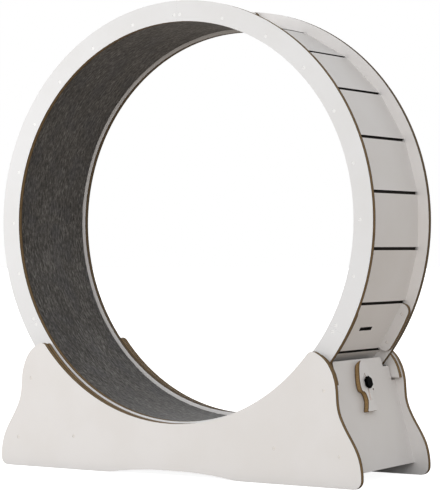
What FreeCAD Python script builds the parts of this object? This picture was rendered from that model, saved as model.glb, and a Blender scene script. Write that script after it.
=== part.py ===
import FreeCAD, Part
import math
import os

V = FreeCAD.Vector
doc = FreeCAD.newDocument("cat_exercise_wheel")

# ---------------------------------------------------------------- dimensions
# Lengths in millimetres, angles in degrees.  Heights called *_rise are measured
# from the wheel's axis (negative below it); everything stands on z = 0.
SIZES = [
    ("axis_height", 575.0, "wheel axis above the floor"),
    ("board", 12.0, "thickness of the main boards"),
    ("ring_outer", 500.0, "outer radius of the two rings"),
    ("ring_inner", 453.0, "inner radius of the two rings"),
    ("drum_half", 140.0, "half the width over the rings"),
    ("wall_radius", 477.0, "drum wall, radius at its outer corners"),
    ("wall_board", 9.0, "thickness of the kerfed drum wall"),
    ("kerf_wide", 7.0, "width of a kerf"),
    ("kerf_deep", 6.2, "depth of a kerf"),
    ("facets", 24.0, "flats round the drum"),
    ("carpet_inner", 460.0, "running surface radius"),
    ("carpet_outer", 463.7, "back of the carpet"),
    ("half_gap", 0.03, "half the joint between two boards of a ring or wall"),
    ("cheek_outer", 499.6, "outer radius of the joint plates"),
    ("cheek_low", 496.0, "outer radius of the front lock plate"),
    ("lock_angle", -30.0, "middle of the lock flat"),
    ("lock_long", 56.0, "lock slot along the axis"),
    ("lock_high", 9.0, "lock slot round the drum"),
    ("lock_low", 3.6, "lock slot centre below the middle of its flat"),
    ("lock_mid", 0.0, "lock slot centre along the axis"),
    ("panel_face", 167.0, "outer face of a side panel from the middle"),
    ("arc_radius", 456.5, "cradle arc of a side panel"),
    ("saddle_inset", 0.3, "saddle arc outside the panel arc"),
    ("saddle_low", 520.0, "radius of the lower edge of a saddle"),
    ("tilt", 15.1, "lean of the end boards from upright"),
    ("foot_x", 450.2, "outer bottom edge of an end board"),
    ("foot_z", 27.5, "end board bottom edge above the floor"),
    ("end_wide", 155.0, "half width of an end board below the saddles"),
    ("end_neck", 143.0, "inner face of a saddle board"),
    ("end_cut", 140.2, "half width of an end board between the saddles"),
    ("end_tongue", 113.0, "half width between the rings"),
    ("end_step", 192.8, "height up the end board to the saddles"),
    ("end_notch", 226.3, "height up the end board to the ring notch"),
    ("end_top", 248.1, "full height up the end board"),
    ("roller_radius", 20.0, "tyre radius of a roller"),
    ("roller_gap", 0.3, "play between tyre and ring"),
    ("roller_angle", 46.0, "roller centre below the level through the axis"),
    ("tyre_inner", 16.0, "inner radius of a tyre"),
    ("tyre_wide", 11.8, "width of a tyre"),
    ("flange_radius", 24.5, "outer flange of a roller"),
    ("bearing_outer", 11.0, "outer radius of the bearing"),
    ("bearing_bore", 6.18, "bore of the turning race"),
    ("race_outer", 6.1, "outer radius of the still race"),
    ("axle_radius", 4.0, "roller axle"),
    ("axle_fit", 4.05, "bore on the axle"),
    ("spacer_outer", 6.5, "outer radius of the axle spacer"),
    ("rail_x", 271.0, "cross rail centre"),
    ("rail_rise", -497.0, "cross rail centre from the axis"),
    ("rail_high", 60.0, "height of a cross rail"),
    ("slide_thick", 12.0, "thickness of the lock slide"),
    ("slide_gap", 1.5, "space under the lock slide"),
    ("slide_mid", -4.5, "lock slide centre along the axis"),
    ("stud_up", 192.3, "stud height up the end board"),
    ("stud_radius", 2.5, "lock stud"),
    ("slide_slot", 2.8, "half width of the slot in the slide"),
    ("slot_top", 22.0, "upper end of that slot above the stud"),
    ("slot_foot", -40.0, "lower end of that slot"),
    ("knob_radius", 13.9, "knob over its corners"),
    ("knob_high", 8.0, "knob height"),
    ("screw_radius", 2.0, "wood screw shank"),
    ("screw_head", 3.9, "wood screw head radius"),
    ("screw_sink", 3.0, "depth of the head recess"),
    ("screw_long", 36.0, "length of a wood screw"),
    ("screw_circle", 468.4, "screw circle on the rings"),
]
sheet = doc.addObject("Spreadsheet::Sheet", "Dims")
for i, (name, value, note) in enumerate(SIZES, start=1):
    sheet.set("A%d" % i, note)
    sheet.set("B%d" % i, repr(value))
    sheet.setAlias("B%d" % i, name)
doc.recompute()


def D(name):
    return float(sheet.get(name))


AX = D("axis_height")
BOARD = D("board")
PARTS = []


# ------------------------------------------------------------------- helpers
def plane_of(body, role):
    return [f for f in body.Origin.OriginFeatures if f.Role == role][0]


def new_body(label):
    b = doc.addObject("PartDesign::Body", label)
    b.Label = label
    return b


def sketch_on(body, role, name):
    s = body.newObject("Sketcher::SketchObject", name)
    s.AttachmentSupport = [(plane_of(body, role), "")]
    s.MapMode = "FlatFace"
    return s


def pad(body, sketch, name, length, reverse=False):
    p = body.newObject("PartDesign::Pad", name)
    p.Profile = sketch
    p.Reversed = reverse
    p.setExpression("Length", length)
    sketch.Visibility = False
    return p


def pol(r, deg):
    a = math.radians(deg)
    return (r * math.cos(a), r * math.sin(a))


def vec(p):
    return V(p[0], p[1], 0)


def lines(sk, pts):
    n = len(pts)
    for i in range(n):
        sk.addGeometry(Part.LineSegment(vec(pts[i]), vec(pts[(i + 1) % n])), False)


def circle(sk, centre, radius_alias):
    import Sketcher
    g = sk.addGeometry(Part.Circle(vec(centre), V(0, 0, 1), D(radius_alias)), False)
    c = sk.addConstraint(Sketcher.Constraint("Radius", g, D(radius_alias)))
    sk.setExpression("Constraints[%d]" % c, "Dims." + radius_alias)
    return g


def arc3(sk, a, m, b):
    sk.addGeometry(Part.Arc(vec(a), vec(m), vec(b)), False)


def seg(sk, a, b):
    sk.addGeometry(Part.LineSegment(vec(a), vec(b)), False)


def spline(sk, pts):
    c = Part.BSplineCurve()
    c.interpolate([vec(p) for p in pts])
    sk.addGeometry(c, False)


def place(obj, x=None, y=None, z=None):
    for axis, ex in (("x", x), ("y", y), ("z", z)):
        if ex is not None:
            obj.setExpression("Placement.Base." + axis, ex)


def fillet_edges(body, feature, name, points, radius, along):
    """Round the straight edges of the feature that run along the given axis
    and pass through one of the given points (in the body's own frame)."""
    doc.recompute()
    names = []
    for i, e in enumerate(feature.Shape.Edges, start=1):
        if len(e.Vertexes) != 2:
            continue
        a, b = e.Vertexes[0].Point, e.Vertexes[1].Point
        d = b.sub(a)
        if d.Length < 1e-6 or abs(abs(d.dot(along)) / d.Length - 1) > 1e-6:
            continue
        for p in points:
            r = a.sub(p)
            off = r.sub(along * r.dot(along))
            if off.Length < 0.05:
                names.append("Edge%d" % i)
                break
    f = body.newObject("PartDesign::Fillet", name)
    f.Base = (feature, names)
    f.Radius = radius
    return f


def keep(obj, label=None):
    if label:
        obj.Label = label
    PARTS.append(obj)
    return obj


# ------------------------------------------- the two rings, three boards each
STEP = 360.0 / D("facets")
JOINTS = {"right": (-30.0, 90.0), "left": (90.0, 210.0), "bottom": (210.0, 330.0)}


def screw_angles(part):
    a0, a1 = JOINTS[part]
    n = int(round((a1 - a0) / STEP))
    return [a0 + 0.95] + [a0 + k * STEP for k in range(1, n)] + [a1 - 0.95]


def holes(body, name, points, radius, depth, offset, forward):
    """Round holes along Y.  offset is the sketch plane's y in the body's own
    frame; forward holes run towards +Y, the others towards -Y."""
    h = sketch_on(body, "XZ_Plane", name + "_centres")
    h.AttachmentOffset = FreeCAD.Placement(V(0, 0, -offset), FreeCAD.Rotation())
    for x, z in points:
        h.addGeometry(Part.Circle(vec((x, z)), V(0, 0, 1), radius), False)
    doc.recompute()
    before = body.Tip.Shape.Volume
    q = body.newObject("PartDesign::Pocket", name)
    q.Profile = h
    q.Reversed = not forward
    if isinstance(depth, str):
        q.setExpression("Length", depth)
    else:
        q.Length = depth
    h.Visibility = False
    doc.recompute()
    want = len(points) * math.pi * radius * radius * 1.0
    assert before - q.Shape.Volume > want, (name, before, q.Shape.Volume)
    return q


def ring_board(label, part, front):
    b = new_body(label)
    s = sketch_on(b, "XZ_Plane", label + "_outline")
    ro, ri, g = D("ring_outer"), D("ring_inner"), D("half_gap")
    a0, a1 = JOINTS[part]
    am = (a0 + a1) / 2

    def P(r, a, sign):
        return pol(r, a + sign * math.degrees(g / r))
    arc3(s, P(ro, a0, 1), pol(ro, am), P(ro, a1, -1))
    seg(s, P(ro, a1, -1), P(ri, a1, -1))
    arc3(s, P(ri, a1, -1), pol(ri, am), P(ri, a0, 1))
    seg(s, P(ri, a0, 1), P(ro, a0, 1))
    pad(b, s, label + "_pad", "Dims.board")
    at = [pol(D("screw_circle"), a) for a in screw_angles(part)]
    # the pad lies from y = 0 to y = -board
    y_out = -D("board") if front else 0.0
    holes(b, label + "_recess", at, D("screw_head") + 0.1, "Dims.screw_sink", y_out, front)
    holes(b, label + "_bores", at, D("screw_radius") + 0.1, "Dims.board", y_out, front)
    plate = [pol(486.0, mid + da) for mid in (a0, a1) for da in (-4.4, 4.4) if a0 < mid + da < a1]
    y_in = 0.0 if front else -D("board")
    holes(b, label + "_plate_bores", plate, D("screw_radius") + 0.1, 8.6, y_in, not front)
    place(b, y="-Dims.drum_half + Dims.board" if front else "Dims.drum_half", z="Dims.axis_height")
    return keep(b)


for part in ("right", "left", "bottom"):
    ring_board("ring_front_" + part, part, True)
    ring_board("ring_back_" + part, part, False)


# -------------------------------------- the drum wall, three kerfed boards
# each board covers eight flats; the boards meet in a kerf, away from the
# joints of the rings
WALLS = {"right": (-37.5, 82.5), "top": (82.5, 202.5), "bottom": (202.5, 322.5)}


def wall_outline(a0, a1):
    """Outline of one board of the wall: flats with a kerf across each corner."""
    R, T = D("wall_radius"), D("wall_board")
    half = STEP / 2.0
    w, dk, g = D("kerf_wide") / 2.0, D("kerf_deep"), D("half_gap")
    ri = (R * math.cos(math.radians(half)) - T) / math.cos(math.radians(half))
    m = R - w * math.tan(math.radians(half))
    n = int(round((a1 - a0) / STEP))

    def at(a, dr, dt):
        er = pol(1.0, a)
        return (er[0] * dr - er[1] * dt, er[1] * dr + er[0] * dt)
    out = [at(a0, R - dk, g), at(a0, R - dk, w), at(a0, m, w)]
    for k in range(1, n):
        a = a0 + k * STEP
        out += [at(a, m, -w), at(a, R - dk, -w), at(a, R - dk, w), at(a, m, w)]
    out += [at(a1, m, -w), at(a1, R - dk, -w), at(a1, R - dk, -g)]
    tn = math.tan(math.radians(half))
    out.append(at(a1, ri - g * tn, -g))
    out += [pol(ri, a0 + k * STEP) for k in range(n - 1, 0, -1)]
    out.append(at(a0, ri - g * tn, g))
    return out


def wall(label, part):
    a0, a1 = WALLS[part]
    b = new_body(label)
    s = sketch_on(b, "XZ_Plane", label + "_outline")
    lines(s, wall_outline(a0, a1))
    pad(b, s, label + "_pad", "2 * (Dims.drum_half - Dims.board)")
    at = []
    for ring in JOINTS:
        for a in screw_angles(ring):
            if a0 < a < a1 or a0 < a - 360 < a1:
                at.append(pol(D("screw_circle"), a))
    # pilot bores for the ring screws in both ends of the board
    L = 2 * (D("drum_half") - D("board"))
    holes(b, label + "_bores_back", at, D("screw_radius") + 0.1, 25.0, 0.0, False)
    holes(b, label + "_bores_front", at, D("screw_radius") + 0.1, 25.0, -L, True)
    place(b, y="Dims.drum_half - Dims.board", z="Dims.axis_height")
    return b


keep(wall("drum_wall_top", "top"))
keep(wall("drum_wall_bottom", "bottom"))
wr = wall("drum_wall_right_blank", "right")
cut = doc.addObject("Part::Box", "lock_slot_tool")
cut.setExpression("Length", "40")
cut.setExpression("Width", "Dims.lock_long")
cut.setExpression("Height", "Dims.lock_high")
ur = V(math.cos(math.radians(D("lock_angle"))), 0, math.sin(math.radians(D("lock_angle"))))
up = V(-ur.z, 0, ur.x)
base = ur * (D("wall_radius") - 25) + up * (-D("lock_high") / 2 - D("lock_low")) + V(0, D("lock_mid") - D("lock_long") / 2, AX)
cut.Placement = FreeCAD.Placement(base, FreeCAD.Rotation(V(0, 1, 0), -D("lock_angle")))
doc.recompute()
wcut = doc.addObject("Part::Cut", "drum_wall_right")
wcut.Base = wr
wcut.Tool = cut
doc.recompute()
assert wcut.Shape.Volume < wr.Shape.Volume - 3000
keep(wcut, "drum_wall_right")


# ------------------------------------------------------------- carpet lining
def carpet(label):
    b = new_body(label)
    s = sketch_on(b, "XZ_Plane", label + "_section")
    circle(s, (0, 0), "carpet_outer")
    circle(s, (0, 0), "carpet_inner")
    pad(b, s, label + "_pad", "2 * (Dims.drum_half - Dims.board) - 0.4")
    place(b, y="Dims.drum_half - Dims.board - 0.2", z="Dims.axis_height")
    return keep(b)


carpet("tread_carpet")


# --------------------------- joint plates that bridge the half rings, and the
# ---------------------------------- pair that stiffens the lock flat
def joint_plate(label, mid, front, router):
    b = new_body(label)
    s = sketch_on(b, "XZ_Plane", label + "_outline")
    half = STEP / 2.0
    flat = D("wall_radius") * math.cos(math.radians(half))
    ro = D(router)
    w = half - 0.42
    er, et = pol(1.0, mid), pol(1.0, mid + 90.0)

    def P(r, a):
        return pol(r, mid + a)

    def F(a):
        t = flat * math.tan(math.radians(a))
        return (er[0] * flat + et[0] * t, er[1] * flat + et[1] * t)
    A, Bp, C, E = F(-w), P(ro, -w), P(ro, w), F(w)
    seg(s, A, Bp)
    arc3(s, Bp, P(ro, 0), C)
    seg(s, C, E)
    seg(s, E, A)
    p = pad(b, s, label + "_pad", "Dims.board")
    f = fillet_edges(b, p, label + "_round", [V(Bp[0], 0, Bp[1]), V(C[0], 0, C[1])], 17.0, V(0, 1, 0))
    doc.recompute()
    at = [P(486.0, a) for a in (-4.4, 4.4)]
    # the pad runs towards -Y from its placement
    holes(b, label + "_recess", at, 3.8, 1.8, 0.0 if front else -D("board"), not front)
    holes(b, label + "_bores", at, D("screw_radius") + 0.1, "Dims.board", -D("board"), True)
    place(b, y="-Dims.drum_half + 2 * Dims.board" if front else "Dims.drum_half - Dims.board",
          z="Dims.axis_height")
    return keep(b)


joint_plate("lock_plate_front", D("lock_angle"), True, "cheek_low")
joint_plate("lock_plate_back", D("lock_angle"), False, "cheek_outer")
joint_plate("joint_plate_front_top", 90.0, True, "cheek_outer")
joint_plate("joint_plate_back_top", 90.0, False, "cheek_outer")
joint_plate("joint_plate_front_left", 210.0, True, "cheek_outer")
joint_plate("joint_plate_back_left", 210.0, False, "cheek_outer")


# ------------------------------------------------- fastener groups (many alike)
def wood_screw(at, direction, long_, head_r, shank_r, sink):
    """Cap-headed wood screw: the head's outer face sits at the point given."""
    d = V(direction)
    d.normalize()
    head = Part.makeCylinder(head_r, sink - 0.2, at, d)
    shank = Part.makeCylinder(shank_r, long_ - 4.0, at, d)
    tip = Part.makeCone(shank_r, 0.4, 4.0, at + d * (long_ - 4.0), d)
    bore = Part.makeCylinder(1.3, 1.4, at, d)
    return head.fuse([shank, tip]).removeSplitter().cut(bore)


def group(label, shapes):
    f = doc.addObject("Part::Feature", label)
    f.Shape = Part.makeCompound(shapes)
    f.Label = label
    return keep(f)


def ring_screws(label, front):
    sgn = -1.0 if front else 1.0
    out = []
    for part in ("right", "left", "bottom"):
        for a in screw_angles(part):
            x, z = pol(D("screw_circle"), a)
            out.append(wood_screw(V(x, sgn * (D("drum_half") - 0.05), AX + z), (0, -sgn, 0),
                                  D("screw_long"), D("screw_head"), D("screw_radius"), D("screw_sink")))
    return group(label, out)


ring_screws("ring_screws_front", True)
ring_screws("ring_screws_back", False)


def plate_screws(label, front):
    sgn = -1.0 if front else 1.0
    out = []
    y = sgn * (D("drum_half") - 2 * BOARD)
    for mid in (D("lock_angle"), 90.0, 210.0):
        for a in (-4.4, 4.4):
            x, z = pol(486.0, mid + a)
            # head just under the plate's face, shank through it into the ring
            at = V(x, y + sgn * 0.2, AX + z)
            d = V(0, sgn, 0)
            head = Part.makeCylinder(3.6, 1.6, at, d)
            shank = Part.makeCylinder(D("screw_radius"), 20.2, at, d)
            bore = Part.makeCylinder(1.2, 1.0, at, d)
            out.append(head.fuse(shank).removeSplitter().cut(bore))
    return group(label, out)


plate_screws("joint_screws_front", True)
plate_screws("joint_screws_back", False)

# ------------------------------------------------------------- side panels
RIGHT = [(354.6, -287.5), (360.0, -284.4), (366.0, -283.6), (378.9, -288.5), (391.4, -296.7), (399.9, -305.0),
         (406.2, -313.4), (410.9, -321.8), (415.0, -330.2), (417.9, -338.7), (420.4, -347.2), (422.0, -355.7),
         (423.2, -364.2), (423.8, -372.7), (424.4, -381.2), (424.9, -389.7), (425.8, -398.2), (427.3, -406.7),
         (429.5, -415.2), (432.6, -423.6), (436.4, -431.9), (440.6, -440.2), (445.2, -448.5), (450.2, -456.8),
         (455.4, -465.1), (460.6, -473.3), (465.5, -481.5), (470.0, -489.8), (473.9, -498.1), (477.2, -506.4),
         (479.8, -514.7), (481.8, -523.1), (483.4, -531.5), (484.4, -539.9), (485.0, -548.3), (485.0, -555.0)]
ARCH = [(190.0, -575.0), (178.0, -574.7), (168.0, -574.0), (157.0, -572.6), (145.0, -571.0), (136.0, -569.4),
        (122.0, -568.3), (115.0, -567.2), (100.0, -566.0), (78.0, -564.3), (52.0, -563.0), (20.0, -562.4),
        (0.0, -562.3)]


def panel(label, y):
    b = new_body(label)
    s = sketch_on(b, "XZ_Plane", label + "_outline")
    ra = D("arc_radius")
    top = RIGHT[0]
    ang = math.degrees(math.atan2(top[1], top[0]))
    p0 = pol(ra, ang)
    right = [p0] + RIGHT[1:]
    left = [(-x, z) for x, z in right]
    arc3(s, left[0], (0.0, -ra), right[0])
    # rounded shoulders and flowing sides, then a rounded foot
    spline(s, right)
    e = right[-1]
    corner = (465.0, -575.0)
    m = (465.0 + 20.0 * math.cos(math.radians(-45)), -555.0 + 20.0 * math.sin(math.radians(-45)))
    arc3(s, e, m, corner)
    seg(s, corner, ARCH[0])
    arch = ARCH + [(-x, z) for x, z in reversed(ARCH[:-1])]
    spline(s, arch)
    seg(s, arch[-1], (-465.0, -575.0))
    arc3(s, (-465.0, -575.0), (-m[0], m[1]), left[-1])
    spline(s, list(reversed(left)))
    pad(b, s, label + "_pad", "Dims.board")
    front = "front" in label
    y_out = -D("board") if front else 0.0
    y_in = 0.0 if front else -D("board")
    # screws into the end boards and cross rails, then those of the saddles
    holes(b, label + "_recess", PANEL_SCREWS, D("screw_head") + 0.1, "Dims.screw_sink", y_out, front)
    holes(b, label + "_bores", PANEL_SCREWS, D("screw_radius") + 0.1, "Dims.board", y_out, front)
    holes(b, label + "_saddle_bores", SADDLE_SCREWS, D("screw_radius") - 0.15, 7.5, y_in, not front)
    place(b, y=y, z="Dims.axis_height")
    return keep(b)


SIN, COS = math.sin(math.radians(D("tilt"))), math.cos(math.radians(D("tilt")))
PANEL_SCREWS, UP_SCREWS = [], (43.6, 188.6)
for sx in (1.0, -1.0):
    for t in UP_SCREWS:
        PANEL_SCREWS.append((sx * (D("foot_x") - SIN * t - 6.0 * COS), D("foot_z") - AX + COS * t - 6.0 * SIN))
    PANEL_SCREWS.append((sx * D("rail_x"), D("rail_rise")))
SADDLE_SCREWS = [(sx * x, z) for sx in (1, -1) for x, z in
                 [(345.0, -342.0), (380.0, -331.0), (345.0, -385.0), (386.5, -386.0), (245.0, -424.0), (88.0, -480.0)]]

panel("side_panel_front", "-Dims.panel_face + Dims.board")
panel("side_panel_back", "Dims.panel_face")


# ------------------------------------------------------------- end boards
def end_board(label, right):
    b = new_body(label)
    s = sketch_on(b, "YZ_Plane", label + "_outline")
    W, N, T = D("end_wide"), D("end_cut"), D("end_tongue")
    a, c, e = D("end_step"), D("end_notch"), D("end_top")
    pts = [(-W, 0), (W, 0), (W, a), (N, a), (N, c), (T, c), (T, e), (-T, e), (-T, c), (-N, c), (-N, a), (-W, a)]
    lines(s, pts)
    if right:
        s.addGeometry(Part.Circle(vec((D("slide_mid"), D("stud_up"))), V(0, 0, 1), D("stud_radius") + 0.1), False)
    p = pad(b, s, label + "_pad", "Dims.board", reverse=right)
    f = fillet_edges(b, p, label + "_round", [V(0, T, e), V(0, -T, e)], 6.0, V(1, 0, 0))
    doc.recompute()
    at = [(-6.0 if right else 6.0, t) for t in UP_SCREWS]
    holes(b, label + "_bores_front", at, D("screw_radius") + 0.1, 30.0, -W, True)
    holes(b, label + "_bores_back", at, D("screw_radius") + 0.1, 30.0, W, False)
    ang = -D("tilt") if right else D("tilt")
    b.Placement = FreeCAD.Placement(V(0, 0, 0), FreeCAD.Rotation(V(0, 1, 0), ang))
    place(b, x="Dims.foot_x" if right else "-Dims.foot_x", z="Dims.foot_z")
    return keep(b)


end_board("end_board_right", True)
end_board("end_board_left", False)

# ---------- saddle boards: they double the cradle arc and hold the roller axles
SHOULDER = [(365.2, -287.1), (377.2, -291.7), (389.2, -299.5), (397.2, -307.4), (403.2, -315.4), (407.7, -323.5),
            (411.7, -331.6), (414.5, -339.8), (416.9, -348.0), (418.3, -355.5)]
RC = D("ring_outer") + D("roller_gap") + D("roller_radius")
RX, RZ = RC * math.cos(math.radians(D("roller_angle"))), -RC * math.sin(math.radians(D("roller_angle")))


def saddle(label, front):
    b = new_body(label)
    s = sketch_on(b, "XZ_Plane", label + "_outline")
    ra, rl = D("arc_radius") + D("saddle_inset"), D("saddle_low")
    a1 = pol(ra, -38.6)
    low = (math.sqrt(rl * rl - 397.0 * 397.0), -397.0)
    right = [a1] + SHOULDER
    side = [SHOULDER[-1], (385.5, -355.5), (396.6, -397.0), low]

    def M(p):
        return (-p[0], p[1])
    arc3(s, M(a1), (0.0, -ra), a1)
    spline(s, right)
    for p, q in zip(side, side[1:]):
        seg(s, p, q)
    arc3(s, low, (0.0, -rl), M(low))
    for p, q in zip(side[::-1], side[::-1][1:]):
        seg(s, M(p), M(q))
    spline(s, [M(p) for p in reversed(right)])
    for sx in (1.0, -1.0):
        circle(s, (sx * RX, RZ), "axle_fit")
    p = pad(b, s, label + "_pad", "Dims.board")
    fillet_edges(b, p, label + "_round", [V(396.6, 0, -397.0), V(-396.6, 0, -397.0)], 6.0, V(0, 1, 0))
    doc.recompute()
    # the pad lies from y = 0 to y = -board
    y_in = 0.0 if front else -D("board")
    holes(b, label + "_recess", SADDLE_SCREWS, 3.6, 1.8, y_in, not front)
    holes(b, label + "_bores", SADDLE_SCREWS, D("screw_radius") - 0.15, "Dims.board", y_in, not front)
    place(b, y="-Dims.end_neck" if front else "Dims.end_wide", z="Dims.axis_height")
    return keep(b)


saddle("saddle_front", True)
saddle("saddle_back", False)


# ------------------------------------------------------------- cross rails
def rail(label, sx):
    b = new_body(label)
    s = sketch_on(b, "XZ_Plane", label + "_section")
    w, hh = D("board") / 2, D("rail_high") / 2
    lines(s, [(-w, -hh), (w, -hh), (w, hh), (-w, hh)])
    pad(b, s, label + "_pad", "2 * Dims.end_wide")
    holes(b, label + "_bore_back", [(0, 0)], D("screw_radius") + 0.1, 30.0, 0.0, False)
    holes(b, label + "_bore_front", [(0, 0)], D("screw_radius") + 0.1, 30.0, -2 * D("end_wide"), True)
    place(b, x="%g * Dims.rail_x" % sx, y="Dims.end_wide", z="Dims.axis_height + Dims.rail_rise")
    return keep(b, label)


rail("cross_rail_right", 1)
rail("cross_rail_left", -1)


# --------------------------------- round parts on the roller axles (along Y)
def tube(label, outer, inner, length, x, y_end, z, rounding=None):
    """Tube along Y whose far end is at y_end; it runs from there towards -Y."""
    b = new_body(label)
    s = sketch_on(b, "XZ_Plane", label + "_section")
    circle(s, (0, 0), outer)
    if inner:
        circle(s, (0, 0), inner)
    p = pad(b, s, label + "_pad", length)
    if rounding:
        doc.recompute()
        ro = D(outer)
        names = [("Edge%d" % i) for i, e in enumerate(p.Shape.Edges, start=1)
                 if hasattr(e.Curve, "Radius") and abs(e.Curve.Radius - ro) < 1e-6]
        f = b.newObject("PartDesign::Fillet", label + "_round")
        f.Base = (p, names)
        f.Radius = rounding
    place(b, x=x, y=y_end, z=z)
    return keep(b)


ZR = "Dims.axis_height - (Dims.ring_outer + Dims.roller_gap + Dims.roller_radius) * sin(Dims.roller_angle * 1 deg)"
XR = "%g * (Dims.ring_outer + Dims.roller_gap + Dims.roller_radius) * cos(Dims.roller_angle * 1 deg)"
SIDES = (("right", 1), ("left", -1))
for side, sx in SIDES:
    tube("axle_" + side, "axle_radius", None, "2 * Dims.end_wide - 1", XR % sx, "Dims.end_wide - 0.5", ZR, 0.8)
    tube("axle_spacer_" + side, "spacer_outer", "axle_fit", "255", XR % sx, "127.5", ZR)
    for face, sgn in (("front", -1), ("back", 1)):
        lab = "_%s_%s" % (face, side)
        tube("roller_tyre" + lab, "roller_radius", "tyre_inner", "Dims.tyre_wide", XR % sx,
             "-128.4" if sgn < 0 else "140.2", ZR, 1.4)
        # hub: a barrel under the tyre and a flange beyond the ring's face
        b = doc.addObject("Part::Feature", "roller_hub" + lab)
        barrel = Part.makeCylinder(D("tyre_inner"), 12.2, V(0, 128.2, 0), V(0, 1, 0))
        flange = Part.makeCylinder(D("flange_radius"), 1.9, V(0, 140.4, 0), V(0, 1, 0))
        flange = flange.makeFillet(0.6, [e for e in flange.Edges if hasattr(e.Curve, "Radius")])
        bore = Part.makeCylinder(D("bearing_outer"), 20.0, V(0, 126.0, 0), V(0, 1, 0))
        hub = barrel.fuse(flange).removeSplitter().cut(bore)
        if sgn < 0:
            hub = hub.mirror(V(0, 0, 0), V(0, 1, 0))
        b.Shape = hub
        b.Placement = FreeCAD.Placement(V(sx * RX, 0, AX + RZ), FreeCAD.Rotation())
        keep(b)
        tube("roller_bearing" + lab, "bearing_outer", "bearing_bore", "13.6",
             XR % sx, "-128.4" if sgn < 0 else "142.0", ZR)

races, washers = [], []
for sx in (1, -1):
    for y0 in (-142.3, 127.5):
        o = Part.makeCylinder(D("race_outer"), 14.8, V(sx * RX, y0, AX + RZ), V(0, 1, 0))
        i = Part.makeCylinder(D("axle_fit"), 14.8, V(sx * RX, y0, AX + RZ), V(0, 1, 0))
        races.append(o.cut(i))
    for y0 in (-143.0, 142.3):
        o = Part.makeCylinder(7.5, 0.7, V(sx * RX, y0, AX + RZ), V(0, 1, 0))
        i = Part.makeCylinder(D("axle_fit"), 0.7, V(sx * RX, y0, AX + RZ), V(0, 1, 0))
        washers.append(o.cut(i))
group("bearing_inner_races", races)
group("roller_washers", washers)


# ------------------------------------------------------------- base screws
def panel_screws(label, front):
    sgn = -1.0 if front else 1.0
    out = []
    for x, z in PANEL_SCREWS:
        out.append(wood_screw(V(x, sgn * (D("panel_face") - 0.2), AX + z), (0, -sgn, 0),
                              40.0, D("screw_head"), D("screw_radius"), D("screw_sink")))
    return group(label, out)


panel_screws("panel_screws_front", True)
panel_screws("panel_screws_back", False)

inside = []
for sgn in (-1, 1):
    for x, z in SADDLE_SCREWS:
        at = V(x, sgn * (D("end_neck") + 0.2), AX + z)
        head = Part.makeCylinder(3.4, 1.6, at, V(0, sgn, 0))
        shank = Part.makeCylinder(D("screw_radius") - 0.25, 18.5, at, V(0, sgn, 0))
        inside.append(head.fuse(shank).removeSplitter())
group("saddle_screws", inside)


# ------------------------------------------- wheel lock on the right end board
TILT = math.radians(D("tilt"))
NRM = V(math.cos(TILT), 0, math.sin(TILT))
UPV = V(-math.sin(TILT), 0, math.cos(TILT))
FOOT = V(D("foot_x"), 0, D("foot_z"))
STUD = FOOT + UPV * D("stud_up") + V(0, D("slide_mid"), 0)
ROT = FreeCAD.Rotation(V(0, 1, 0), -D("tilt"))

# outline of the slide, half width against height from the stud
HALF = [(0.0, 51.0), (7.3, 48.9), (13.9, 43.2), (19.2, 34.6), (23.5, 25.5), (26.9, 16.4), (29.7, 7.3), (31.3, -1.6),
        (31.5, -9.0), (30.3, -14.2), (26.4, -17.6)]
NECK = [(18.4, -20.7), (15.0, -25.0), (12.8, -31.0), (12.1, -38.5), (13.7, -44.0), (16.4, -49.2), (20.2, -56.0),
        (23.5, -60.0)]
OFF = 1.0                    # the outline's middle lies beside that of the slot
b = new_body("lock_slide")
s = sketch_on(b, "YZ_Plane", "lock_slide_outline")
full = [(OFF - w, t) for w, t in reversed(HALF[1:])] + [(OFF + w, t) for w, t in HALF]
spline(s, full)
rn = [(OFF + w, t) for w, t in [HALF[-1]] + NECK]
ln = [(OFF - w, t) for w, t in [HALF[-1]] + NECK]
spline(s, rn)
spline(s, list(reversed(ln)))
arc3(s, (OFF + 23.5, -60.0), (OFF + 23.1, -62.5), (OFF + 20.9, -63.6))
seg(s, (OFF + 20.9, -63.6), (OFF - 20.9, -63.6))
arc3(s, (OFF - 20.9, -63.6), (OFF - 23.1, -62.5), (OFF - 23.5, -60.0))
# slot that runs on the stud
w = D("slide_slot")
hi, lo = D("slot_top") - w, D("slot_foot") + w
arc3(s, (-w, hi), (0.0, hi + w), (w, hi))
seg(s, (w, hi), (w, lo))
arc3(s, (w, lo), (0.0, lo - w), (-w, lo))
seg(s, (-w, lo), (-w, hi))
# a small hole beside the knob
s.addGeometry(Part.Circle(vec((22.0, -16.0)), V(0, 0, 1), 2.2), False)
p = pad(b, s, "lock_slide_pad", "Dims.slide_thick")
# the tip is bevelled behind, so that it can enter the slot of the drum
v = sketch_on(b, "XZ_Plane", "lock_slide_bevel")
lines(v, [(-1.0, 52.0), (-1.0, 40.6), (0.0, 40.6), (6.4, 52.0)])
q = b.newObject("PartDesign::Pocket", "lock_slide_tip")
q.Profile = v
q.Type = 1
q.Midplane = True
v.Visibility = False
doc.recompute()
assert q.Shape.Volume < p.Shape.Volume - 500
b.Placement = FreeCAD.Placement(STUD + NRM * D("slide_gap"), ROT)
keep(b)

# stud: a carriage bolt from behind, its head against the board's inner face
sh = Part.makeCylinder(D("stud_radius"), 12.0 + 20.0, V(-12.0, 0, 0), V(1, 0, 0))
hd = Part.makeCylinder(9.0, 3.0, V(-15.0, 0, 0), V(1, 0, 0))
dome = Part.makeSphere(14.0, V(-4.3, 0, 0)).common(Part.makeCylinder(9.0, 4.0, V(-18.4, 0, 0), V(1, 0, 0)))
st = sh.fuse([hd, dome]).removeSplitter()
f = doc.addObject("Part::Feature", "lock_stud")
f.Shape = st
f.Placement = FreeCAD.Placement(STUD, ROT)
keep(f, "lock_stud")


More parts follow.
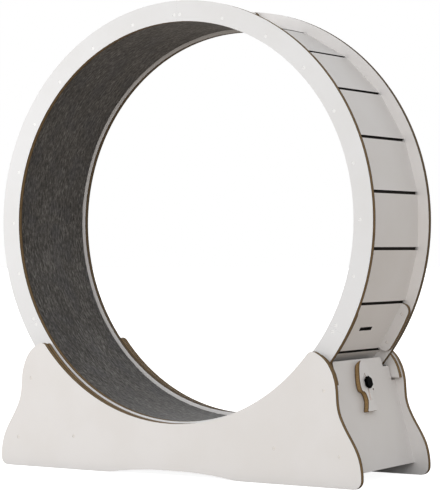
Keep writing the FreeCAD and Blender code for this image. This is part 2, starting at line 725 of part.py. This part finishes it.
def disc(label, outer, inner, thick, start):
    b = new_body(label)
    s = sketch_on(b, "YZ_Plane", label + "_section")
    s.addGeometry(Part.Circle(V(0, 0, 0), V(0, 0, 1), outer), False)
    s.addGeometry(Part.Circle(V(0, 0, 0), V(0, 0, 1), inner), False)
    pad(b, s, label + "_pad", thick)
    b.Placement = FreeCAD.Placement(STUD + NRM * start, ROT)
    return keep(b)


top = D("slide_gap") + D("slide_thick")
disc("slide_washer", 11.0, D("stud_radius"), "1.2", 0.0)
disc("knob_washer", 9.5, D("stud_radius") + 0.08, "1.0", top + 0.3)
off = top + 1.6
# hexagonal knob, closed on top, on a threaded insert
b = new_body("lock_knob")
s = sketch_on(b, "YZ_Plane", "lock_knob_outline")
R = D("knob_radius")
lines(s, [pol(R, 90.0 + 60.0 * k) for k in range(6)])
p = pad(b, s, "lock_knob_pad", "Dims.knob_high - 1.2")
doc.recompute()
thick = D("knob_high") - 1.2
names = []
for i, e in enumerate(p.Shape.Edges, start=1):
    a, c = e.Vertexes[0].Point, e.Vertexes[1].Point
    if abs(a.x - c.x) > 1.0 or min(a.x, c.x) > thick - 0.01:
        names.append("Edge%d" % i)
f = b.newObject("PartDesign::Fillet", "lock_knob_round")
f.Base = (p, names)
f.Radius = 1.2
doc.recompute()
p = f
v = sketch_on(b, "YZ_Plane", "lock_knob_hole")
v.addGeometry(Part.Circle(V(0, 0, 0), V(0, 0, 1), 4.5), False)
q = b.newObject("PartDesign::Pocket", "lock_knob_bore")
q.Profile = v
q.Reversed = True
q.Length = 5.4
v.Visibility = False
doc.recompute()
assert q.Shape.Volume < p.Shape.Volume - 300
b.Placement = FreeCAD.Placement(STUD + NRM * off, ROT)
keep(b)
disc("knob_insert", 4.5, 2.58, "5.4", off)

# ------------------------------------------------------------- write the parts
doc.recompute()
for o in doc.Objects:
    bad = [x for x in o.State if x in ("Invalid", "Error")]
    if bad:
        raise RuntimeError("%s is %s" % (o.Label, o.State))
for o in PARTS:
    sh = o.Shape
    if sh.isNull() or not sh.isValid() or not sh.Solids:
        raise RuntimeError("bad shape: " + o.Label)
names = [o.Label for o in PARTS]
assert len(names) == len(set(names)) <= 60
os.makedirs("parts", exist_ok=True)
for o in PARTS:
    o.Shape.exportStep("parts/%s.step" % o.Label)
    bb = o.Shape.BoundBox
    print("%-26s solids %2d  vol %10.0f  x %7.1f %7.1f  y %7.1f %7.1f  z %7.1f %7.1f" % (
        o.Label, len(o.Shape.Solids), o.Shape.Volume, bb.XMin, bb.XMax, bb.YMin, bb.YMax, bb.ZMin, bb.ZMax))
print(len(PARTS), "parts")
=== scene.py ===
import math

import bpy
import bmesh
import numpy as np
from mathutils import Matrix, Vector


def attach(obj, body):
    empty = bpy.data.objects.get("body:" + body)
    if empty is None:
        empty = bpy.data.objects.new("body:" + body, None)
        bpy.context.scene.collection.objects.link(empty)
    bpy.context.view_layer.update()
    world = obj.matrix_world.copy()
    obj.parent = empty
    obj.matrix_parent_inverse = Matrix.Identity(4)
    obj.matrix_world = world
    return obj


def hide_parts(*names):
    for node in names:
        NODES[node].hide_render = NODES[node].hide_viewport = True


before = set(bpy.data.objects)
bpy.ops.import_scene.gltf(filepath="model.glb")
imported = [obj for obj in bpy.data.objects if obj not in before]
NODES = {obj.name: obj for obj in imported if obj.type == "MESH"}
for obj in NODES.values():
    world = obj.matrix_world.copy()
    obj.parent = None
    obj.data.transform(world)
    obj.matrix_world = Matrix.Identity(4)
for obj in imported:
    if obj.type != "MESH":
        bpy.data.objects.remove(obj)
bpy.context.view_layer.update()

scene = bpy.context.scene
AXIS_Z = 0.575
BOARD = 0.012
TILT = math.radians(15.1)
NRM = Vector((math.cos(TILT), 0, math.sin(TILT)))
UPV = Vector((-math.sin(TILT), 0, math.cos(TILT)))


# studio light: soft lobes as (azimuth, height, sharpness, colour), and the
# light that the floor gives back
LOBES = [
    (0, 8, 6.0, (0.055, 0.055, 0.055)),
    (-45, 20, 6.0, (1.53, 1.535, 1.535)),
    (-90, 15, 6.0, (0.72, 0.72, 0.755)),
    (-125, 20, 6.0, (1.155, 1.18, 1.17)),
    (180, 15, 6.0, (0.32, 0.32, 0.32)),
    (0, 90, 3.0, (0.18, 0.18, 0.18)),
    (90, 20, 3.0, (1.08, 1.08, 1.08)),
    (45, 15, 6.0, (0.27, 0.27, 0.27)),
]
FLOOR_GLOW = 0.36
# near soft lamps: place, size across, power
LAMPS = [
    ((-2.0, -2.0, 1.0), 1.2, 13.0),
    ((-1.2, -3.0, 1.5), 1.2, 5.0),
    ((0.6, -3.2, 0.5), 1.2, 5.3),
]


# ------------------------------------------------------------------ node kit
class Mat:
    """A material and short ways to add nodes to it."""

    def __init__(self, name):
        self.m = bpy.data.materials.new(name)
        self.m.use_nodes = True
        self.t = self.m.node_tree
        self.t.nodes.clear()
        self.out = self.n("ShaderNodeOutputMaterial")
        self.b = self.n("ShaderNodeBsdfPrincipled")
        self.t.links.new(self.b.outputs[0], self.out.inputs[0])
        self.tc = self.n("ShaderNodeTexCoord")

    def n(self, kind, **kw):
        node = self.t.nodes.new(kind)
        for k, v in kw.items():
            setattr(node, k, v)
        return node

    def link(self, a, b):
        self.t.links.new(a, b)
        return a

    def val(self, socket, v):
        if isinstance(v, bpy.types.NodeSocket):
            self.t.links.new(v, socket)
        else:
            socket.default_value = v

    def math(self, op, a, b=0.0, c=None, clamp=False):
        n = self.n("ShaderNodeMath", operation=op, use_clamp=clamp)
        self.val(n.inputs[0], a)
        self.val(n.inputs[1], b)
        if c is not None:
            self.val(n.inputs[2], c)
        return n.outputs[0]

    def vmath(self, op, a, b=None):
        n = self.n("ShaderNodeVectorMath", operation=op)
        self.val(n.inputs[0], a)
        if b is not None:
            self.val(n.inputs[1], b)
        return n.outputs["Value"] if op in ("DOT_PRODUCT", "LENGTH") else n.outputs[0]

    def mapped(self, scale=(1, 1, 1), rot=(0, 0, 0), loc=(0, 0, 0), src=None):
        n = self.n("ShaderNodeMapping")
        n.inputs["Scale"].default_value = scale
        n.inputs["Rotation"].default_value = rot
        n.inputs["Location"].default_value = loc
        self.link(src or self.tc.outputs["Object"], n.inputs[0])
        return n.outputs[0]

    def noise(self, vec, scale, detail=4.0, rough=0.55, dist=0.0):
        n = self.n("ShaderNodeTexNoise")
        self.link(vec, n.inputs["Vector"])
        n.inputs["Scale"].default_value = scale
        n.inputs["Detail"].default_value = detail
        n.inputs["Roughness"].default_value = rough
        n.inputs["Distortion"].default_value = dist
        return n.outputs["Fac"]

    def ramp(self, fac, stops, interp="LINEAR"):
        n = self.n("ShaderNodeValToRGB")
        n.color_ramp.interpolation = interp
        el = n.color_ramp.elements
        while len(el) > 1:
            el.remove(el[-1])
        el[0].position, el[0].color = stops[0][0], rgba(stops[0][1])
        for p, c in stops[1:]:
            e = el.new(p)
            e.color = rgba(c)
        self.link(fac, n.inputs[0])
        return n.outputs[0]

    def mix(self, fac, a, b, blend="MIX"):
        n = self.n("ShaderNodeMix", data_type="RGBA", blend_type=blend)
        self.val(n.inputs[0], fac)
        self.val(n.inputs[6], a if isinstance(a, bpy.types.NodeSocket) else rgba(a))
        self.val(n.inputs[7], b if isinstance(b, bpy.types.NodeSocket) else rgba(b))
        return n.outputs[2]

    def lerp(self, fac, a, b):
        n = self.n("ShaderNodeMix", data_type="FLOAT")
        self.val(n.inputs[0], fac)
        self.val(n.inputs[2], a)
        self.val(n.inputs[3], b)
        return n.outputs[0]

    def step(self, x, lo, hi):
        n = self.n("ShaderNodeMapRange", interpolation_type="SMOOTHSTEP")
        self.val(n.inputs[0], x)
        n.inputs[1].default_value = lo
        n.inputs[2].default_value = hi
        n.inputs[3].default_value = 0.0
        n.inputs[4].default_value = 1.0
        return n.outputs[0]

    def bump(self, height, strength, distance, normal=None):
        n = self.n("ShaderNodeBump")
        n.inputs["Strength"].default_value = strength
        n.inputs["Distance"].default_value = distance
        self.link(height, n.inputs["Height"])
        if normal is not None:
            self.link(normal, n.inputs["Normal"])
        return n.outputs[0]


def rgba(c):
    if isinstance(c, (int, float)):
        return (c, c, c, 1.0)
    return tuple(c) if len(c) == 4 else (c[0], c[1], c[2], 1.0)


def lin(r, g, b):
    """0-255 screen values to linear."""
    def f(v):
        v /= 255.0
        return v / 12.92 if v <= 0.04045 else ((v + 0.055) / 1.055) ** 2.4
    return (f(r), f(g), f(b))


# ------------------------------------------------------------- board material
def board(name, axis=None, radial=None, mid=0.0, thick=BOARD, tint=1.0, cut=1.0, slot=None):
    """White laminated fibreboard.  The faces square to the axis (or radial
    about the wheel) are laminate; cut edges are raw brown board, darker where
    the cut meets the laminate.  mid is where the board's middle lies along
    that axis.  cut scales the tone of the edge, piece by piece: lighter and
    darker copies of the one raw edge, painted light and shade.  tint scales
    the laminate colour of a piece; on the back ring it is a lighter copy,
    painted light.  slot gives the y and half width of a slot whose walls are
    coloured near white."""
    M = Mat(name)
    obj = M.tc.outputs["Object"]
    nor = M.tc.outputs["Normal"]
    if radial is None:
        ax = Vector(axis).normalized()
        d = M.math("ABSOLUTE", M.vmath("DOT_PRODUCT", nor, tuple(ax)))
        face = M.step(d, 0.80, 0.90)
        along = M.vmath("DOT_PRODUCT", obj, tuple(ax))
        depth = M.math("ABSOLUTE", M.math("SUBTRACT", along, mid))
    else:
        # radius and radial direction in the plane of the wheel
        rel = M.vmath("SUBTRACT", obj, (0.0, 0.0, AXIS_Z))
        flat = M.vmath("MULTIPLY", rel, (1.0, 0.0, 1.0))
        rad = M.vmath("LENGTH", flat)
        unit = M.vmath("NORMALIZE", flat)
        d = M.math("ABSOLUTE", M.vmath("DOT_PRODUCT", nor, unit))
        radial_face = M.step(d, 0.90, 0.97)
        outer = M.step(rad, radial[0], radial[0] + 0.0006)
        inner = M.math("SUBTRACT", 1.0, M.step(rad, radial[1], radial[1] + 0.0006))
        face = M.math("MULTIPLY", radial_face, M.math("MAXIMUM", outer, inner))
        depth = M.math("ABSOLUTE", M.math("SUBTRACT", rad, mid))
    # laminate: a fine satin print with hardly visible clouding and fingerprints
    cloud = M.noise(M.mapped((1, 1, 1)), 5.5, 3.0, 0.6)
    fine = M.noise(M.mapped((1, 1, 1)), 900.0, 2.0, 0.6)
    pore = M.noise(M.mapped((1, 1, 1)), 260.0, 3.0, 0.7)
    t = tint if isinstance(tint, tuple) else (tint, tint, tint)
    white = lin(229.5 * t[0], 227 * t[1], 225.5 * t[2])
    warm = lin(226.5 * t[0], 223.5 * t[1], 221 * t[2])
    lam = M.mix(M.step(cloud, 0.35, 0.68), white, warm)
    lam = M.mix(M.math("MULTIPLY", M.step(pore, 0.62, 0.78), 0.10), lam, lin(196, 190, 182))
    # raw edge: compressed brown fibre, darker at the borders
    fib = M.noise(M.mapped((1, 1, 1)), 420.0, 4.0, 0.75)
    mott = M.noise(M.mapped((1, 1, 1)), 38.0, 3.0, 0.6)
    # painted light and shade: cut makes this piece's raw edge a lighter or darker copy of the same brown
    def c(r, g, b):
        return tuple(v * cut for v in lin(r, g, b))
    core = M.ramp(fib, [(0.25, c(112, 88, 54)), (0.5, c(140, 113, 74)), (0.75, c(164, 136, 94))])
    core = M.mix(M.math("MULTIPLY", M.step(mott, 0.4, 0.7), 0.35), core, c(104, 80, 48))
    border = M.step(depth, thick * 0.22, thick * 0.44)
    edge = M.mix(M.math("MULTIPLY", border, 0.86), core, c(66, 48, 28))
    # the slot walls are coloured near white, lighter than the laminate
    if slot:
        sep = M.n("ShaderNodeSeparateXYZ")
        M.link(obj, sep.inputs[0])
        off = M.math("ABSOLUTE", M.math("SUBTRACT", sep.outputs[1], slot[0]))
        edge = M.mix(M.step(off, slot[1], slot[1] + 0.001), lin(246, 236, 230), edge)
    col = M.mix(face, edge, lam)
    M.link(col, M.b.inputs["Base Color"])
    rough = M.lerp(face, 0.78, M.lerp(fine, 0.34, 0.44))
    M.link(rough, M.b.inputs["Roughness"])
    h_face = M.math("MULTIPLY", M.noise(M.mapped((1, 1, 1)), 340.0, 2.0, 0.5), 0.25)
    h_edge = M.math("ADD", M.math("MULTIPLY", fib, 1.0), M.math("MULTIPLY", mott, 0.6))
    h = M.lerp(face, h_edge, h_face)
    M.link(M.bump(h, 0.35, 0.0004), M.b.inputs["Normal"])
    M.b.inputs["Specular IOR Level"].default_value = 0.42
    return M.m


def put(node, mat):
    o = NODES[node]
    o.data.materials.clear()
    o.data.materials.append(mat)
    for p in o.data.polygons:
        p.material_index = 0


# painted light and shade: each piece's cut gives its raw edge its own lightness (darker on most pieces, darkest
# on the back ring, lighter on the slide), and tint=1.045 makes the back ring's laminate a lighter copy
m_ring_f = board("laminate_ring_front", axis=(0, 1, 0), mid=-0.134, cut=0.78, tint=(0.994, 1.006, 1.017))
m_ring_b = board("laminate_ring_back", axis=(0, 1, 0), mid=0.134, cut=0.45, tint=1.045)
m_plate_f = board("laminate_plate_front", axis=(0, 1, 0), mid=-0.122)
m_plate_b = board("laminate_plate_back", axis=(0, 1, 0), mid=0.122, cut=0.7)
m_panel_f = board("laminate_panel_front", axis=(0, 1, 0), mid=-0.161, cut=0.88)
m_panel_b = board("laminate_panel_back", axis=(0, 1, 0), mid=0.161, cut=0.80)
m_saddle_f = board("laminate_saddle_front", axis=(0, 1, 0), mid=-0.149)
m_saddle_b = board("laminate_saddle_back", axis=(0, 1, 0), mid=0.149)
m_rail_r = board("laminate_rail_right", axis=(1, 0, 0), mid=0.271)
m_rail_l = board("laminate_rail_left", axis=(1, 0, 0), mid=-0.271)
foot = Vector((0.4502, 0, 0.0275))
m_end_r = board("laminate_end_right", axis=NRM, mid=foot.dot(NRM) - BOARD / 2)
nl = Vector((-NRM.x, 0, NRM.z))
m_end_l = board("laminate_end_left", axis=nl, mid=Vector((-foot.x, 0, foot.z)).dot(nl) - BOARD / 2)
m_slide = board("laminate_slide", axis=NRM, mid=foot.dot(NRM) + 0.0015 + BOARD / 2, cut=1.25,
                slot=(-0.0045, 0.004))
# painted shade, partly real: cut=0.035 makes the drum wall's kerf walls and cut ends near black, partly the
# burnt laser cut and partly painted shade in the deep kerfs
m_wall = board("laminate_wall", radial=(0.4716, 0.4652), mid=0.4690, thick=0.009, cut=0.035)

for part in ("right", "left", "bottom"):
    put("ring_front_" + part, m_ring_f)
    put("ring_back_" + part, m_ring_b)
for part in ("right", "top", "bottom"):
    put("drum_wall_" + part, m_wall)
for nm in ("lock_plate_front", "joint_plate_front_top", "joint_plate_front_left"):
    put(nm, m_plate_f)
for nm in ("lock_plate_back", "joint_plate_back_top", "joint_plate_back_left"):
    put(nm, m_plate_b)
put("side_panel_front", m_panel_f)
put("side_panel_back", m_panel_b)
put("saddle_front", m_saddle_f)
put("saddle_back", m_saddle_b)
put("cross_rail_right", m_rail_r)
put("cross_rail_left", m_rail_l)
put("end_board_right", m_end_r)
put("end_board_left", m_end_l)
put("lock_slide", m_slide)


# ---------------------------------------------------------- other materials
def steel(name, base, rough, scale=700.0):
    M = Mat(name)
    n = M.noise(M.mapped((1, 1, 1)), scale, 3.0, 0.6)
    blotch = M.noise(M.mapped((1, 1, 1)), 60.0, 2.0, 0.5)
    col = M.mix(blotch, tuple(v * 0.86 for v in base), base)
    M.link(col, M.b.inputs["Base Color"])
    M.link(M.lerp(n, rough - 0.06, rough + 0.1), M.b.inputs["Roughness"])
    M.b.inputs["Metallic"].default_value = 1.0
    M.link(M.bump(n, 0.2, 0.0001), M.b.inputs["Normal"])
    return M.m


def plastic(name, base, rough, grain=1600.0, strength=0.25, spec=0.5):
    M = Mat(name)
    M.b.inputs["Specular IOR Level"].default_value = spec
    n = M.noise(M.mapped((1, 1, 1)), grain, 2.0, 0.6)
    c = M.noise(M.mapped((1, 1, 1)), 120.0, 2.0, 0.6)
    col = M.mix(c, tuple(v * 0.8 for v in base), tuple(min(1, v * 1.25) for v in base))
    M.link(col, M.b.inputs["Base Color"])
    M.link(M.lerp(n, rough - 0.08, rough + 0.08), M.b.inputs["Roughness"])
    M.link(M.bump(n, strength, 0.0002), M.b.inputs["Normal"])
    return M.m


zinc = steel("zinc", (0.72, 0.72, 0.71), 0.30)
axle_steel = steel("turned_steel", (0.60, 0.60, 0.61), 0.24)
cap = plastic("screw_white", (0.97, 0.97, 0.965), 0.30, 900.0, 0.1)
cap_dull = plastic("screw_ivory", lin(226, 222, 218), 0.42, 900.0, 0.1)
black = plastic("knob_black", (0.0014, 0.0014, 0.0015), 0.55, spec=0.02)
hubmat = plastic("hub_nylon", (0.035, 0.035, 0.037), 0.45)
tyremat = plastic("tyre_rubber", (0.020, 0.020, 0.021), 0.70, 1100.0, 0.5)

for nm in ("ring_screws_front", "ring_screws_back"):
    put(nm, cap)
for nm in ("panel_screws_front", "panel_screws_back", "joint_screws_front", "joint_screws_back"):
    put(nm, cap_dull)
for nm in ("saddle_screws", "lock_stud", "slide_washer",
           "knob_washer", "knob_insert", "roller_washers"):
    put(nm, zinc)
for nm in ("axle_right", "axle_left", "axle_spacer_right", "axle_spacer_left", "bearing_inner_races"):
    put(nm, axle_steel)
put("lock_knob", black)
for c in ("front_right", "front_left", "back_right", "back_left"):
    put("roller_tyre_" + c, tyremat)
    put("roller_hub_" + c, hubmat)
    put("roller_bearing_" + c, axle_steel)


# ----------------------------------------------------------------- the carpet
def carpet_material():
    M = Mat("carpet_felt")
    obj = M.tc.outputs["Object"]
    rel = M.vmath("SUBTRACT", obj, (0.0, 0.0, AXIS_Z))
    sep = M.n("ShaderNodeSeparateXYZ")
    M.link(rel, sep.inputs[0])
    ang = M.math("ARCTAN2", sep.outputs[2], sep.outputs[0])
    arc = M.math("MULTIPLY", ang, 0.46)
    comb = M.n("ShaderNodeCombineXYZ")
    M.link(arc, comb.inputs[0])
    M.link(sep.outputs[1], comb.inputs[1])
    uv = comb.outputs[0]
    pile = M.noise(M.mapped((1, 1, 1), src=uv), 520.0, 3.0, 0.7)
    tuft = M.noise(M.mapped((0.55, 1, 1), src=uv), 190.0, 3.0, 0.6)
    streak = M.noise(M.mapped((0.28, 1, 1), src=uv), 210.0, 3.0, 0.6)
    worn = M.noise(M.mapped((0.5, 1, 1), src=uv), 26.0, 3.0, 0.6)
    cloud = M.noise(M.mapped((1, 1, 1), src=uv), 7.0, 3.0, 0.6)
    a = M.math("MULTIPLY", pile, 0.16)
    a = M.math("ADD", a, M.math("MULTIPLY", tuft, 0.30))
    a = M.math("ADD", a, M.math("MULTIPLY", streak, 0.34))
    a = M.math("ADD", a, M.math("MULTIPLY", worn, 0.12))
    a = M.math("ADD", a, M.math("MULTIPLY", cloud, 0.08))
    col = M.ramp(a, [(0.38, lin(24, 22, 21)), (0.50, lin(75, 72, 68)), (0.62, lin(134, 131, 128))])
    tone = M.noise(M.mapped((1, 1, 1), loc=(3.1, 0.7, 0), src=uv), 16.0, 2.0, 0.5)
    col = M.mix(M.math("MULTIPLY", M.step(tone, 0.45, 0.7), 0.3), col, lin(70, 70, 76))
    M.link(col, M.b.inputs["Base Color"])
    M.b.inputs["Roughness"].default_value = 0.95
    M.b.inputs["Specular IOR Level"].default_value = 0.15
    M.b.inputs["Sheen Weight"].default_value = 0.25
    M.b.inputs["Sheen Roughness"].default_value = 0.5
    M.link(M.bump(a, 0.9, 0.0012), M.b.inputs["Normal"])
    return M.m


def value_noise(u, v, nu, nv, seed, wrap=True):
    """Smooth random values over a grid of nu x nv cells, u wrapping round."""
    r = np.random.default_rng(seed)
    g = r.random((nu, nv + 2))
    x = u * nu
    y = v * nv
    i = np.floor(x).astype(int)
    j = np.clip(np.floor(y).astype(int), 0, nv - 1)
    fx, fy = x - i, y - j
    fx, fy = fx * fx * (3 - 2 * fx), fy * fy * (3 - 2 * fy)
    i0, i1 = i % nu, (i + 1) % nu
    a = g[i0, j] * (1 - fx) + g[i1, j] * fx
    b = g[i0, j + 1] * (1 - fx) + g[i1, j + 1] * fx
    return a * (1 - fy) + b * fy - 0.5


def make_carpet():
    R0, R1, HALF = 0.4600, 0.4636, 0.1274
    nu, nv = ((1440, 110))
    # angle from the butt joint of the strip, at the foot of the wheel
    u = np.linspace(0, 1, nu + 1)[:-1]
    v = np.linspace(0, 1, nv + 1)
    U, W = np.meshgrid(u, v, indexing="ij")
    h = 0.00024 * value_noise(U, W, 1440, 128, 3)
    h += 0.0007 * value_noise(U, W, 440, 66, 5)
    h += 0.0006 * value_noise(U, W, 150, 44, 11)
    h += 0.0003 * value_noise(U, W, 60, 8, 7)
    # the pile thins towards both cut edges
    e = np.minimum(W, 1 - W) * 2 * HALF
    roll = np.clip(1 - e / 0.004, 0, 1) ** 2
    rr = R0 + 0.0003 - h + roll * 0.0016
    rr = np.maximum(rr, R0 - 0.0002)
    ang = (U + 0.75) * 2 * math.pi
    y = -HALF + 2 * HALF * W
    inner = np.stack([rr * np.cos(ang), y, AXIS_Z + rr * np.sin(ang)], axis=-1)
    verts = inner.reshape(-1, 3).tolist()
    n_in = len(verts)
    back = []
    for k in (0, nv):
        a = (u + 0.75) * 2 * math.pi
        back.append(np.stack([R1 * np.cos(a), np.full(nu, y[0, k]), AXIS_Z + R1 * np.sin(a)], axis=-1))
    verts += back[0].tolist() + back[1].tolist()
    faces = []
    w = nv + 1
    for i in range(nu):
        i2 = (i + 1) % nu
        for j in range(nv):
            faces.append((i * w + j, i * w + j + 1, i2 * w + j + 1, i2 * w + j))
        b0, b1 = n_in + i, n_in + i2
        c0, c1 = n_in + nu + i, n_in + nu + i2
        faces.append((i * w, i2 * w, b1, b0))
        faces.append((i2 * w + nv, i * w + nv, c0, c1))
        faces.append((b0, b1, c1, c0))
    me = bpy.data.meshes.new("carpet_lining")
    me.from_pydata(verts, [], faces)
    bm = bmesh.new()
    bm.from_mesh(me)
    bmesh.ops.recalc_face_normals(bm, faces=bm.faces)
    bm.to_mesh(me)
    bm.free()
    for p in me.polygons:
        p.use_smooth = True
    o = bpy.data.objects.new("carpet_lining", me)
    scene.collection.objects.link(o)
    me.materials.append(carpet_material())
    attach(o, "wheel")
    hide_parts("tread_carpet")
    return o


carpet = make_carpet()


# ------------------------------------------------------------ floor and light
def white(name, strength, shade, under=False):
    """Stage white: mostly its own light, with a little shading."""
    M = Mat(name)
    n = M.noise(M.mapped((1, 1, 1)), 2.0, 2.0, 0.5)
    M.link(M.mix(n, lin(shade, shade, shade), lin(shade + 3, shade + 3, shade + 3)), M.b.inputs["Base Color"])
    M.b.inputs["Roughness"].default_value = 1.0
    M.b.inputs["Specular IOR Level"].default_value = 0.0
    M.b.inputs["Emission Color"].default_value = (1, 1, 1, 1)
    if under:
        # painted shade: below the base the bounce floor is near black and does not glow, so less light comes
        # back from there; elsewhere its warm glow is painted bounce light
        sep = M.n("ShaderNodeSeparateXYZ")
        M.link(M.tc.outputs["Object"], sep.inputs[0])
        dx = M.math("SUBTRACT", M.math("ABSOLUTE", sep.outputs[0]), 0.50)
        dy = M.math("SUBTRACT", M.math("ABSOLUTE", sep.outputs[1]), 0.17)
        out = M.step(M.math("MAXIMUM", dx, dy), -0.03, 0.05)
        M.link(M.mix(out, 0.015, lin(shade, shade, shade)), M.b.inputs["Base Color"])
        M.link(M.math("MULTIPLY", out, strength), M.b.inputs["Emission Strength"])
        M.b.inputs["Emission Color"].default_value = (1.0, 0.88, 0.76, 1.0)
    else:
        M.b.inputs["Emission Strength"].default_value = strength
    return M.m


def plane(name, z, half, mat):
    me = bpy.data.meshes.new(name)
    me.from_pydata([(-half, -half, z), (half, -half, z), (half, half, z), (-half, half, z)], [], [(0, 1, 2, 3)])
    o = bpy.data.objects.new(name, me)
    scene.collection.objects.link(o)
    me.materials.append(mat)
    return o


# the floor that shows, and just below it the one that light bounces off
floor = plane("floor", 0.0, 40.0, white("floor_pale", 0.93, 225))
floor.visible_diffuse = floor.visible_glossy = floor.visible_shadow = False
under = plane("floor_bounce", -0.002, 40.0, white("floor_grey", FLOOR_GLOW, 120, True))
under.visible_camera = False

bm = bmesh.new()
bmesh.ops.create_icosphere(bm, subdivisions=4, radius=45.0)
me = bpy.data.meshes.new("backdrop")
bm.to_mesh(me)
bm.free()
me.materials.append(white("backdrop_white", 1.0, 1))
backdrop = bpy.data.objects.new("backdrop", me)
scene.collection.objects.link(backdrop)
backdrop.visible_diffuse = backdrop.visible_glossy = backdrop.visible_shadow = False

world = bpy.data.worlds.new("studio")
scene.world = world
world.use_nodes = True
wt = world.node_tree
wt.nodes.clear()
w_out = wt.nodes.new("ShaderNodeOutputWorld")
w_bg = wt.nodes.new("ShaderNodeBackground")
wt.links.new(w_bg.outputs[0], w_out.inputs[0])
w_tc = wt.nodes.new("ShaderNodeTexCoord")


def w_node(kind, op, a, b):
    n = wt.nodes.new(kind)
    n.operation = op
    for i, v in enumerate((a, b)):
        if v is None:
            continue
        if isinstance(v, bpy.types.NodeSocket):
            wt.links.new(v, n.inputs[i])
        else:
            n.inputs[i].default_value = v
    return n.outputs["Value"] if (op == "DOT_PRODUCT" or kind == "ShaderNodeMath") else n.outputs[0]


def lobe(az, el, power, colour):
    """A soft light from that side: azimuth from +X towards +Y, and height."""
    a, e = math.radians(az), math.radians(el)
    d = (math.cos(a) * math.cos(e), math.sin(a) * math.cos(e), math.sin(e))
    v = w_node("ShaderNodeVectorMath", "DOT_PRODUCT", w_tc.outputs["Generated"], d)
    v = w_node("ShaderNodeMath", "MAXIMUM", v, 0.0)
    v = w_node("ShaderNodeMath", "POWER", v, power)
    s = wt.nodes.new("ShaderNodeVectorMath")
    s.operation = "SCALE"
    s.inputs[0].default_value = colour
    wt.links.new(v, s.inputs["Scale"])
    return s.outputs[0]


total = None
for az, el, power, colour in LOBES:
    s = lobe(az, el, power, colour)
    total = s if total is None else w_node("ShaderNodeVectorMath", "ADD", total, s)
wt.links.new(total, w_bg.inputs[0])

for k, (at, size, power) in enumerate(LAMPS):
    lamp = bpy.data.lights.new("lamp_%d" % k, "AREA")
    lamp.shape = "DISK"
    lamp.size = size
    lamp.energy = power
    o = bpy.data.objects.new("lamp_%d" % k, lamp)
    scene.collection.objects.link(o)
    o.location = at
    o.rotation_euler = (Vector((0.0, 0.0, 0.5)) - Vector(at)).to_track_quat("-Z", "Y").to_euler()

scene.view_settings.view_transform = "Standard"
scene.view_settings.look = "None"
scene.view_settings.exposure = 0.0
scene.view_settings.gamma = 1.0

# ------------------------------------------------------------------- camera
cam_data = bpy.data.cameras.new("camera")
cam = bpy.data.objects.new("camera", cam_data)
scene.collection.objects.link(cam)
scene.camera = cam
yaw, pitch, roll = math.radians(32.234), math.radians(0.066), math.radians(-0.074)
fwd = Vector((-math.sin(yaw) * math.cos(pitch), math.cos(yaw) * math.cos(pitch), math.sin(pitch)))
right = Vector((math.cos(yaw), math.sin(yaw), 0.0))
up = right.cross(fwd)
r2 = right * math.cos(roll) + up * math.sin(roll)
u2 = up * math.cos(roll) - right * math.sin(roll)
rot = Matrix((r2, u2, -fwd)).transposed()
cam.matrix_world = Matrix.Translation((2.4316, -3.8137, 0.5152)) @ rot.to_4x4()
cam_data.sensor_fit = "AUTO"
cam_data.sensor_width = 36.0
cam_data.lens = 1944.78 / 491.0 * 36.0
cam_data.clip_start, cam_data.clip_end = 0.05, 60.0

bpy.context.view_layer.update()
